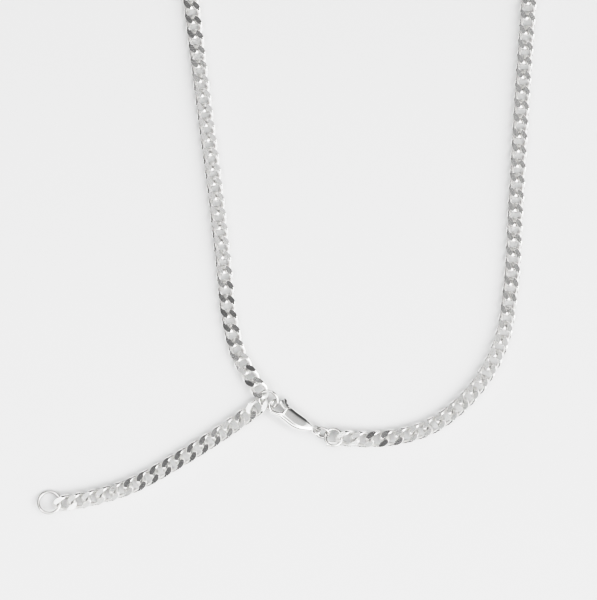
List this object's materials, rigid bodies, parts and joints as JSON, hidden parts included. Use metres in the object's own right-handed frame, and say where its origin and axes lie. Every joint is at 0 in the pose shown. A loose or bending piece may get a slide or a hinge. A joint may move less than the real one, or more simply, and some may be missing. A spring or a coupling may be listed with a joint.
{
  "type": "curb chain necklace",
  "caption": "Flat curb chain necklace of polished silver with a lobster clasp, plain joining rings and a short extender chain that ends in a ring.",
  "frame": {"origin": "middle of the necklace's box, on the table that it lies on", "axes": "+X to the right and +Y up as seen from above with the clasped end towards the viewer, +Z up from the table"},
  "size_m": [0.1051, 0.2042, 0.0033],
  "materials": {
    "chain_silver": "polished silver with ground faces",
    "ring_silver": "polished silver wire",
    "clasp_silver": "polished cast silver"
  },
  "bodies": {
    "necklace": {"chain_left": "chain_silver", "chain_right": "chain_silver", "extender_chain": "chain_silver", "jump_ring": "ring_silver", "end_ring": "ring_silver", "oval_ring": "ring_silver", "clasp_ring": "ring_silver", "clasp_body": "clasp_silver", "clasp_pin": "clasp_silver"},
    "lever": {"clasp_lever": "clasp_silver"}
  },
  "joints": [
    {"name": "clasp_lever_hinge", "type": "hinge", "parent": "necklace", "child": "lever", "pos_m": [-0.00043, -0.0804, 0.00147], "axis": [0.258, 0.3078, 0.9158], "range_deg": [0, 20], "stiffness_Nm_per_rad": 0.001, "springref_deg": -22.92}
  ]
}
